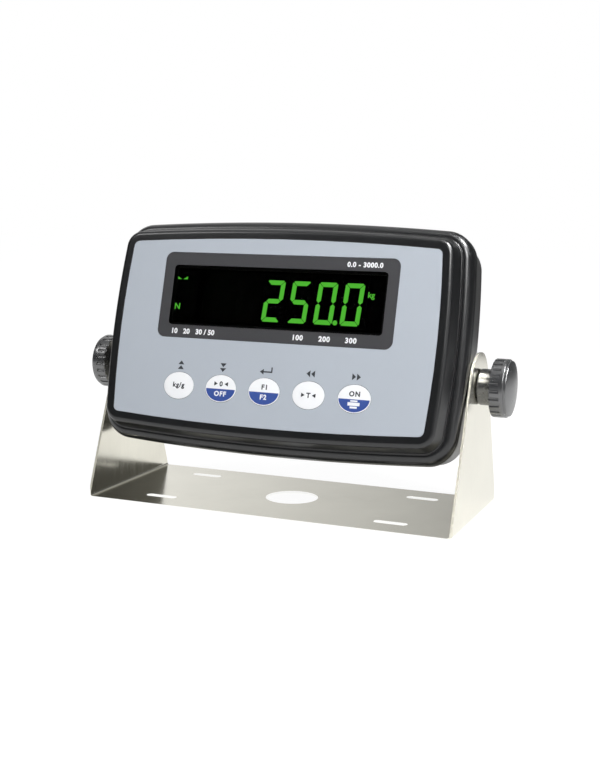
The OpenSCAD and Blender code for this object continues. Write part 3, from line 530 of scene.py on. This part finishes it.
def turned(profile, steps, wave=None):
    """Solid of revolution about the tilt axis: profile of [x, radius]."""
    loops = []
    for x, radius in profile:
        loop = []
        for k in range(steps):
            angle = 2 * math.pi * k / steps
            r = radius if wave is None else wave(x, radius, angle)
            loop.append((x, FACE_DEPTH + r * math.cos(angle), r * math.sin(angle)))
        loops.append(loop)
    return tube(loops)


# Face outline, ported from the solids with finer steps

def circles_meet(a, ra, b, rb):
    """Point where two circles meet, to the left of the way from a to b."""
    d = (b - a).length
    u = (b - a) / d
    along = (ra * ra - rb * rb + d * d) / (2 * d)
    across = math.sqrt(ra * ra - along * along)
    return a + along * u + across * Vector((-u.y, u.x))


def face_outline(side_steps=9, corner_steps=16, top_steps=16):
    """Points and normals round the edge of the face: four bowed edges and round corners."""
    half_w, half_h = FACE_W / 2, FACE_H / 2
    top_r = (half_w ** 2 + TOP_BOW ** 2) / (2 * TOP_BOW)
    side_r = (half_h ** 2 + SIDE_BOW ** 2) / (2 * SIDE_BOW)
    top_c = Vector((0.0, half_h + TOP_BOW - top_r))
    side_c = Vector((half_w + SIDE_BOW - side_r, 0.0))
    corner = circles_meet(side_c, side_r - CORNER_R, top_c, top_r - CORNER_R)
    if corner.x < 0 or corner.y < 0:
        corner = circles_meet(top_c, top_r - CORNER_R, side_c, side_r - CORNER_R)
    side_turn = math.atan2(corner.y - side_c.y, corner.x - side_c.x)
    top_turn = math.atan2(corner.y - top_c.y, corner.x - top_c.x)

    def arc(centre, radius, start, end, steps):
        angles = [start + (end - start) * (i + 1) / steps for i in range(steps)]
        return [(centre.x + radius * math.cos(a), centre.y + radius * math.sin(a),
                 math.cos(a), math.sin(a)) for a in angles]

    quarter = (arc(side_c, side_r, 0.0, side_turn, side_steps)
               + arc(corner, CORNER_R, side_turn, top_turn, corner_steps)
               + arc(top_c, top_r, top_turn, math.pi / 2, top_steps))
    back = quarter[-2::-1]
    middle = (half_w + SIDE_BOW, 0.0, 1.0, 0.0)
    return ([middle] + quarter + [(-x, z, -u, w) for x, z, u, w in back]
            + [(-middle[0], 0.0, -1.0, 0.0)] + [(-x, -z, -u, -w) for x, z, u, w in quarter]
            + [(x, -z, u, -w) for x, z, u, w in back])


OUTLINE = face_outline()


def outline_loop(out, depth):
    """Loop of the face's outline, grown outwards, at a depth."""
    return [(x + out * u * GROW_X, depth, FACE_RISE + z + out * w * GROW_Z)
            for x, z, u, w in OUTLINE]


def turn_rows(centre, a, b, start, end, steps):
    """Elliptical turn, from straight back to straight in, as rows of reach and depth."""
    angles = [math.radians(start + (end - start) * i / steps) for i in range(steps + 1)]
    return [(centre[0] + a * math.sin(t), centre[1] - b * math.cos(t)) for t in angles]


def front_rows():
    """Reach and depth from behind the face plate, back along the inside, and forwards outside."""
    """Reach and depth from behind the face plate, back along the inside, and forwards outside."""
    rim_start, rim_turn = LIP_OUT + GROOVE_STEP, SPLIT_DEPTH - CHAMFER
    inner = [(RING_W + EDGE_R - WALL, PLATE_BACK), (LIP_OUT - WALL, LIP_DEPTH + LIP_R),
             (LIP_OUT - WALL, GROOVE_DEPTH + INNER_STEP)]
    inner += turn_rows((rim_start, rim_turn), RIM_OUT - rim_start - JOINT_WALL,
                       rim_turn - GROOVE_DEPTH - WALL, 0, 90, steps=5)
    inner += [(RIM_OUT - JOINT_WALL, SPLIT_DEPTH)]
    outer = [(RIM_OUT - CHAMFER, SPLIT_DEPTH),
             (RIM_OUT - CHAMFER * MID_CHAMFER, rim_turn + CHAMFER * MID_CHAMFER)]
    outer += turn_rows((rim_start, rim_turn), RIM_OUT - rim_start, rim_turn - GROOVE_DEPTH,
                       90, 0, steps=20)
    outer += [(LIP_OUT + GROOVE_ROUND, GROOVE_DEPTH), (LIP_OUT, GROOVE_DEPTH - GROOVE_ROUND)]
    outer += turn_rows((LIP_OUT - LIP_LEDGE, LIP_DEPTH + LIP_R), LIP_LEDGE, LIP_R,
                       90, 0, steps=7)
    outer += turn_rows((RING_W, EDGE_R), EDGE_R, EDGE_R, EDGE_SWEEP, 0, steps=14)
    outer += [(FILM_GAP + FILM_ROUND, 0.0), (FILM_GAP, FILM_ROUND), (FILM_GAP, RECESS)]
    return inner + outer


def rear_rows():
    """Reach and depth from the flat back forwards to the joint, and back again inside."""
    rows = turn_rows((BACK_OUT, SIDE_DEPTH), SIDE_OUT - BACK_OUT, -(HEAD_DEPTH - SIDE_DEPTH),
                     0, 90, steps=22)
    flange = SPLIT_DEPTH + FLANGE_W
    rows += [(RIM_OUT - FLANGE_STEP, flange + CHAMFER),
             (RIM_OUT - FLANGE_STEP * MID_CHAMFER, flange + CHAMFER * MID_CHAMFER),
             (RIM_OUT, flange - FLANGE_ROUND), (RIM_OUT, SPLIT_DEPTH + CHAMFER),
             (RIM_OUT - CHAMFER * MID_CHAMFER, SPLIT_DEPTH + CHAMFER * MID_CHAMFER),
             (RIM_OUT - CHAMFER, SPLIT_DEPTH), (RIM_OUT - JOINT_WALL, SPLIT_DEPTH)]
    rows += turn_rows((BACK_OUT, SIDE_DEPTH), SIDE_OUT - BACK_OUT - WALL,
                      -(BACK_INNER - SIDE_DEPTH), 90, 0, steps=10)
    return rows


def key_place(n):
    """Centre of a key on the face, from key 1 on the left."""
    return ((n - 3) * KEY_PITCH, -KEY_DROP)


def screw_places():
    """Places of the eight case screws on the back."""
    return [(sx * FACE_W / 2 * share_x, FACE_RISE + sz * FACE_H / 2 * share_z)
            for sx in (-1, 1) for sz in (-1, 1) for share_x, share_z in SCREW_SHARES]


# Housing, keys and their prints

def make_front_housing(mats):
    points, faces = tube([outline_loop(out, depth) for out, depth in front_rows()])
    centre = (0.0, DISPLAY_RISE)
    cuts = [rect_bar(centre, WINDOW_W + WINDOW_GAP, WINDOW_H + WINDOW_GAP, WINDOW_R,
                     -CUT_OVER, SEAT_DEPTH),
            rect_bar(centre, WINDOW_W - 2 * LEDGE, WINDOW_H - 2 * LEDGE, OPENING_R,
                     OPENING_START, PLATE_BACK + CUT_OVER)]
    cuts += [bar(key_place(n), PLUNGER_D + PLUNGER_GAP, -CUT_OVER, PLATE_BACK + CUT_OVER)
             for n in range(1, 6)]
    points, faces = carve(points, faces, cuts)
    piece = add_piece("front_shell", points, faces, HEAD, "head",
                      mats["housing"])
    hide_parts("front_housing")


def make_rear_housing(mats):
    """The rear shell, with its pivot bosses as solids of their own that run into its wall."""
    points, faces = tube([outline_loop(out, depth) for out, depth in rear_rows()])
    boss_r, middle = BOSS_D / 2, BOSS_ROUND * MID_CHAMFER
    profile = [(BOSS_ROOT_X, boss_r), (BOSS_X - BOSS_ROUND, boss_r),
               (BOSS_X - middle, boss_r - middle), (BOSS_X, boss_r - BOSS_ROUND)]
    bosses = [turned([(side * x, r) for x, r in profile], 96) for side in (-1, 1)]
    cuts = [bar(p, SCREW_HOLE_D, HEAD_DEPTH - SCREW_HOLE_L, HEAD_DEPTH + CUT_OVER)
            for p in screw_places()]
    cuts.append(rect_bar(BACK_PANEL_CENTRE, BACK_PANEL_W, BACK_PANEL_H, BACK_PANEL_R,
                         HEAD_DEPTH - BACK_PANEL_SINK, HEAD_DEPTH + CUT_OVER))
    points, faces = joined([carve(points, faces, cuts)] + bosses)
    piece = add_piece("rear_shell", points, faces, HEAD, "head",
                      mats["housing"])
    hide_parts("rear_housing")


def make_keys(mats):
    for n in range(1, 6):
        centre = key_place(n)
        loops = [ellipse(centre, KEY_W, KEY_H, KEY_FRONT + KEY_T),
                 ellipse(centre, KEY_W, KEY_H, KEY_FRONT + KEY_ROUND)]
        for angle in quarter(4)[1:]:
            inset = 2 * KEY_ROUND * (1 - math.cos(angle))
            loops.append(ellipse(centre, KEY_W - inset, KEY_H - inset,
                                 KEY_FRONT + KEY_ROUND * (1 - math.sin(angle))))
        plunger = bar(centre, PLUNGER_D, KEY_FRONT + KEY_T - PLUNGER_LAP, PLUNGER_END)
        points, faces = joined([tube(loops), plunger])
        piece = add_piece(f"key_cap_{n}", points, faces, HEAD, f"key_{n}", mats["key"])
        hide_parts(f"key_{n}")
        if n in (2, 3, 5):
            make_key_field(n, mats)


def make_key_field(n, mats):
    """The blue lower part printed on a key, a little inside its edge."""
    cx, cz = key_place(n)
    a, b = KEY_W / 2 - FIELD_RIM, KEY_H / 2 - FIELD_RIM
    start = math.asin(FIELD_TOP / b)
    angles = [math.pi - start + (math.pi + 2 * start) * k / FIELD_STEPS
              for k in range(FIELD_STEPS + 1)]
    outline = [(cx + a * math.cos(t), cz + b * math.sin(t)) for t in angles]
    points, faces = plate(outline, KEY_FRONT, PRINT_T)
    add_piece(f"key_field_{n}", points, faces, HEAD, f"key_{n}", mats["print_blue"])


def lettering(name, text, centre, height, front, body, mats, mat, bold=0.0,
              spacing=1.0):
    """Printed words or numbers, drawn as a thin mesh on the face. Height is a capital's."""
    curve = bpy.data.curves.new(name, "FONT")
    curve.body = text
    curve.align_x = "CENTER"
    curve.align_y = "CENTER"
    curve.size = height / CAPITAL_SHARE
    curve.offset = bold
    curve.space_character = spacing
    curve.extrude = PRINT_T / 2
    curve.resolution_u = 4
    source = bpy.data.objects.new(name + "_source", curve)
    bpy.context.scene.collection.objects.link(source)
    evaluated = source.evaluated_get(bpy.context.evaluated_depsgraph_get())
    mesh = bpy.data.meshes.new_from_object(evaluated)
    xs = [v.co.x for v in mesh.vertices]
    ys = [v.co.y for v in mesh.vertices]
    middle = Vector(((max(xs) + min(xs)) / 2, (max(ys) + min(ys)) / 2, 0.0))
    matrix = (HEAD @ Matrix.Translation((centre[0], front - PRINT_T / 2, centre[1])) @ FACING
              @ Matrix.Translation(-middle))
    points = [tuple(v.co) for v in mesh.vertices]
    faces = [tuple(p.vertices) for p in mesh.polygons]
    bpy.data.objects.remove(source)
    bpy.data.meshes.remove(mesh)
    return add_piece(name, points, faces, matrix, body, mats[mat])


def flat_shape(name, outlines, front, body, mats, mat):
    """Printed flat shapes: outlines of [x, z], a print's thickness proud of a front."""
    points, faces = joined([plate(outline, front, PRINT_T) for outline in outlines])
    return add_piece(name, points, faces, HEAD, body, mats[mat])


def triangle(centre, length, width, direction):
    """A solid arrow head that points up, down, left or right."""
    turn = {"right": 0, "up": 90, "left": 180, "down": 270}[direction]
    corners = ((length / 2, 0.0), (-length / 2, width / 2), (-length / 2, -width / 2))
    c, s = math.cos(math.radians(turn)), math.sin(math.radians(turn))
    return [(centre[0] + x * c - z * s, centre[1] + x * s + z * c) for x, z in corners]


def box_outline(x0, z0, x1, z1):
    """Corners of a rectangle on the face."""
    return [(x0, z0), (x1, z0), (x1, z1), (x0, z1)]


def enter_sign(centre):
    """The bent arrow of an enter key."""
    x, z = centre
    line, reach, rise, drop = 0.85, 4.2, 2.3, 1.2
    return [box_outline(x - reach + 2.0, z - drop, x + reach, z - drop + line),
            box_outline(x + reach - line, z - drop, x + reach, z + rise),
            triangle((x - reach + 1.2, z - drop + line / 2), 2.6, 3.6, "left")]


def printer_sign(centre):
    """A small printer with a sheet above it and one coming out below."""
    x, z = centre
    body, sheet = 3.9, 2.3
    return [box_outline(x - body, z - 1.0, x + body, z + 1.1),
            box_outline(x - sheet, z + 1.5, x + sheet, z + 2.4),
            box_outline(x - sheet, z - 2.6, x + sheet, z - 1.4)]


def make_key_signs(mats):
    """Signs on the film above the keys."""
    for n, direction in {1: "up", 2: "down", 4: "left", 5: "right"}.items():
        x, z = key_place(n)
        z += SIGN_RISE
        if direction in ("up", "down"):
            places = [(x, z - ARROW_STEP / 2), (x, z + ARROW_STEP / 2)]
        else:
            places = [(x - ARROW_STEP / 2, z), (x + ARROW_STEP / 2, z)]
        flat_shape(f"key_sign_{n}", [triangle(p, ARROW_L, ARROW_W, direction) for p in places],
                   FILM_SINK, "head", mats, "print_dark")
    x, z = key_place(3)
    flat_shape("key_sign_3", enter_sign((x, z + SIGN_RISE)), FILM_SINK, "head", mats,
               "print_dark")


def make_key_prints(mats):
    """Plain words and signs on the keys themselves."""
    top, low = KEY_FRONT, KEY_FRONT - PRINT_T
    up, down = KEY_TEXT_UP, KEY_TEXT_DOWN
    words = [(1, "kg/g", 0.0, top, "print_dark"), (2, "0", up, top, "print_dark"),
             (2, "OFF", down, low, "print_white"), (3, "F1", up, top, "print_dark"),
             (3, "F2", down, low, "print_white"), (4, "T", 0.0, top, "print_dark"),
             (5, "ON", up, top, "print_dark")]
    for i, (n, text, dz, front, mat) in enumerate(words):
        x, z = key_place(n)
        lettering(f"key_text_{n}_{i}", text, (x, z + dz), KEY_TEXT_H, front, f"key_{n}", mats,
                  mat, bold=0.17, spacing=1.2)
    for n, dz in ((2, up), (4, 0.0)):
        x, z = key_place(n)
        arrows = [triangle((x - SIDE_ARROW_X, z + dz), SIDE_ARROW_L, SIDE_ARROW_W, "right"),
                  triangle((x + SIDE_ARROW_X, z + dz), SIDE_ARROW_L, SIDE_ARROW_W, "left")]
        flat_shape(f"key_arrows_{n}", arrows, top, f"key_{n}", mats, "print_dark")
    x, z = key_place(5)
    flat_shape("key_printer", printer_sign((x, z + down)), low, "key_5", mats, "print_white")


def make_frame_prints(mats):
    """Plain numbers on the frame round the window."""
    below = DISPLAY_RISE - WINDOW_H / 2 - FRAME_TEXT_DROP
    above = DISPLAY_RISE + WINDOW_H / 2 + RANGE_TEXT_RISE
    for text, x in FRAME_NUMBERS:
        lettering(f"frame_number_{text}", text, (x, below), FRAME_TEXT_H, FILM_SINK, "head", mats,
                  "print_white", bold=0.2, spacing=1.15)
    lettering("frame_range", "0.0 - 3000.0", (RANGE_TEXT_X, above), RANGE_TEXT_H, FILM_SINK,
              "head", mats, "print_white", bold=0.18, spacing=1.12)
    lettering("frame_steps", "10   20   30 / 50", (FRAME_STEPS_X, below), FRAME_TEXT_H, FILM_SINK,
              "head", mats, "print_white", bold=0.2, spacing=1.05)


def make_lit_signs(mats):
    """The lit symbols beside the digits, on the front of their blocks."""
    top, foot = ZERO_RISE + ZERO_UP, ZERO_RISE - ZERO_DOWN
    flat_shape("lit_zero_mark",
               [[(ZERO_LEFT, top), (ZERO_LEFT + ZERO_L, foot), (ZERO_LEFT, foot)],
                [(ZERO_RIGHT, top), (ZERO_RIGHT, foot), (ZERO_RIGHT - ZERO_L, foot)]],
               MODULE_FRONT, "head", mats, "lit")
    lettering("lit_net_mark", "N", NET_PLACE, NET_H, MODULE_FRONT, "head", mats, "lit",
              bold=0.12)
    lettering("lit_unit", "kg", UNIT_PLACE, UNIT_H, MODULE_FRONT, "head", mats, "lit",
              bold=0.12)


# Knobs and the solids' nodes

def knob_profile():
    """Distance out from the arm and radius, from the stud's bore round to the domed cap."""
    start = ARM_OUTER_X + ARM_GAP
    collar_r, grip_r, cap_r = COLLAR_D / 2, GRIP_D / 2, CAP_D / 2
    rows = [(WASHER_SEAT, STUD_BORE_R), (WASHER_SEAT, WASHER_SEAT_R), (0.0, WASHER_SEAT_R)]
    rows += [(COLLAR_ROUND * (1 - math.cos(t)), collar_r - COLLAR_ROUND * (1 - math.sin(t)))
             for t in quarter(5)]
    # Small fillet between the collar and the grip
    rows += [(COLLAR_L - 0.4, collar_r), (COLLAR_L - 0.1, collar_r + 0.15),
             (COLLAR_L, collar_r + 0.5)]
    rows += [(COLLAR_L + GRIP_ROUND * (1 - math.cos(t)), grip_r - GRIP_ROUND * (1 - math.sin(t)))
             for t in quarter(6)]
    # Close rows where the grooves of the grip run out
    end = COLLAR_L + GRIP_L
    rib_end = COLLAR_L + GRIP_L * RIB_SHARE
    rows += [(rib_end - 1.2 + 0.2 * k, grip_r) for k in range(8)]
    rows += [(end - GRIP_ROUND + GRIP_ROUND * math.sin(t),
              grip_r - GRIP_ROUND * (1 - math.cos(t))) for t in quarter(6)]
    rows += [(end, cap_r + CAP_ROUND), (end + CAP_ROUND, cap_r), (end + CAP_STEP - 0.3, cap_r),
             (end + CAP_STEP - 0.05, cap_r - CAP_ROUND)]
    dome_r = (cap_r ** 2 + CAP_RISE ** 2) / (2 * CAP_RISE)
    for k in range(1, DOME_STEPS):
        r = (cap_r - CAP_ROUND) * (1 - k / DOME_STEPS)
        rows.append((end + CAP_STEP + CAP_RISE - dome_r + math.sqrt(dome_r ** 2 - r ** 2), r))
    return [(start + a, r) for a, r in rows]


def rib_wave(x, radius, angle):
    """Radius with the grooves of the grip taken off it."""
    near = ARM_OUTER_X + ARM_GAP + COLLAR_L
    far = near + GRIP_L * RIB_SHARE
    slack = 0.01
    if radius < COLLAR_D / 2 + 1 or not near - slack <= abs(x) <= far + slack:
        return radius
    pitch = 2 * math.pi / RIBS
    off = (angle / pitch + 0.5) % 1 - 0.5
    arc = abs(off) * pitch * GRIP_D / 2
    if arc >= RIB_W / 2:
        return radius
    fade = min(1.0, (far - abs(x)) / RIB_FADE)
    depth = math.sqrt(1 - (2 * arc / RIB_W) ** 2) * RIB_W / 2 * fade
    return min(radius, max(GRIP_D / 2 - depth, COLLAR_D / 2))


def make_knobs(mats):
    for side, label in ((-1, "left"), (1, "right")):
        profile = [(side * x, r) for x, r in knob_profile()]
        points, faces = turned(profile, RIBS * RIB_STEPS, rib_wave)
        piece = add_piece(f"hand_knob_{label}", points, faces, HEAD, f"knob_{label}",
                          mats["knob"], sharp_angle=38)
        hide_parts(f"knob_{label}")


def dress_nodes(mats):
    """Gives every node of the solids its material."""
    for name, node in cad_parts.items():
        node.data.materials.clear()
        node.data.materials.append(mats[NODE_LOOKS.get(name, "parts")])


# Studio

def light_path_mix(tree, seen, other, output):
    """Shows one shader to camera, glossy and transmission rays, and the other to the rest."""
    path = add_node(tree, "LightPath")
    shown = math_node(tree, "MAXIMUM", path.outputs["Is Camera Ray"],
                      path.outputs["Is Glossy Ray"])
    shown = math_node(tree, "MAXIMUM", shown, path.outputs["Is Transmission Ray"])
    tree.links.new(mix_shaders(tree, shown, other, seen), output)


def make_world():
    world = bpy.data.worlds.new("studio")
    bpy.context.scene.world = world
    world.use_nodes = True
    tree = world.node_tree
    tree.nodes.clear()
    shown = shader_node(tree, "Background", color=(1, 1, 1, 1))
    light = shader_node(tree, "Background", color=WORLD_COLOR, strength=WORLD_LIGHT)
    output = add_node(tree, "OutputWorld")
    light_path_mix(tree, shown, light, output.inputs["Surface"])


def stage_sheet(name, corners):
    """A sheet of the studio with a new material, and its shader's empty tree."""
    mesh = bpy.data.meshes.new(name)
    mesh.from_pydata(corners, [], [(0, 1, 2, 3)])
    obj = bpy.data.objects.new(name, mesh)
    bpy.context.scene.collection.objects.link(obj)
    mat = bpy.data.materials.new(name)
    mat.use_nodes = True
    mat.node_tree.nodes.clear()
    mesh.materials.append(mat)
    return obj, mat.node_tree


def rectangle(low, high):
    """Corners of a level or upright rectangle, from its lowest and highest corner."""
    u, v = [axis for axis in range(3) if low[axis] != high[axis]]
    corners = []
    for end_u, end_v in ((low, low), (high, low), (high, high), (low, high)):
        corner = list(low)
        corner[u], corner[v] = end_u[u], end_v[v]
        corners.append(corner)
    return corners


def make_floor():
    """White floor that glows a little where it is seen, and still takes the shadow."""
    half = FLOOR_HALF
    floor, tree = stage_sheet("floor", rectangle((-half, -half, 0), (half, half, 0)))
    floor.location.z = FLOOR_Z
    paper = shader_node(tree, "BsdfDiffuse", color=FLOOR_PAPER)
    glow = shader_node(tree, "Emission", strength=FLOOR_GLOW)
    output = add_node(tree, "OutputMaterial")
    light_path_mix(tree, mix_shaders(tree, FLOOR_GLOW_SHARE, paper, glow), paper,
                   output.inputs["Surface"])


def flag(name, low, high, glow):
    """A studio wall seen only in reflections. Glow holds its strengths, as [x, strength]."""
    obj, tree = stage_sheet(name, rectangle(low, high))
    obj.visible_camera = False
    obj.visible_diffuse = False
    obj.visible_shadow = False
    obj.visible_transmission = False
    shine = shader_node(tree, "Emission",
                        strength=map_range(tree, along(tree, "Object", "X"), *glow))
    output = add_node(tree, "OutputMaterial")
    tree.links.new(shine, output.inputs["Surface"])


def make_flags():
    """Dark walls and ceiling round the white table, and pale cards that give the highlights."""
    for name, (low, high, glow) in FLAGS.items():
        flag(name, low, high, glow)


def make_lights():
    for name, (place, size, power) in LAMPS.items():
        data = bpy.data.lights.new(name, "AREA")
        data.shape = "RECTANGLE"
        data.size, data.size_y = size
        data.energy = power
        light = bpy.data.objects.new(name, data)
        bpy.context.scene.collection.objects.link(light)
        light.location = place
        aim = Vector(LAMP_TARGET) - Vector(place)
        light.rotation_euler = aim.to_track_quat("-Z", "Y").to_euler()


def make_camera():
    azimuth, elevation = math.radians(CAMERA_AZIMUTH), math.radians(CAMERA_ELEVATION)
    back = Vector((math.sin(azimuth) * math.cos(elevation),
                   -math.cos(azimuth) * math.cos(elevation), math.sin(elevation)))
    right = (-back).cross(Vector((0, 0, 1))).normalized()
    up = right.cross(-back).normalized()
    roll = math.radians(CAMERA_ROLL)
    rolled_right = math.cos(roll) * right + math.sin(roll) * up
    rolled_up = math.cos(roll) * up - math.sin(roll) * right
    place = MM * (Vector(CAMERA_TARGET) + CAMERA_DISTANCE * back)
    data = bpy.data.cameras.new("camera")
    data.sensor_fit = "AUTO"
    data.sensor_width = SENSOR
    data.lens = FOCAL_PIXELS * SENSOR / LONG_SIDE_PIXELS
    data.clip_start = 0.01
    camera = bpy.data.objects.new("camera", data)
    camera.matrix_world = Matrix.Translation(place) @ Matrix(
        (rolled_right, rolled_up, back)).transposed().to_4x4()
    bpy.context.scene.collection.objects.link(camera)
    bpy.context.scene.camera = camera


def main():
    make_camera()
    make_world()
    make_floor()
    make_flags()
    make_lights()
    mats = make_materials()
    dress_nodes(mats)
    make_front_housing(mats)
    make_rear_housing(mats)
    make_keys(mats)
    make_key_signs(mats)
    make_key_prints(mats)
    make_frame_prints(mats)
    make_lit_signs(mats)
    make_knobs(mats)
    bpy.context.scene.view_settings.view_transform = "Standard"


main()
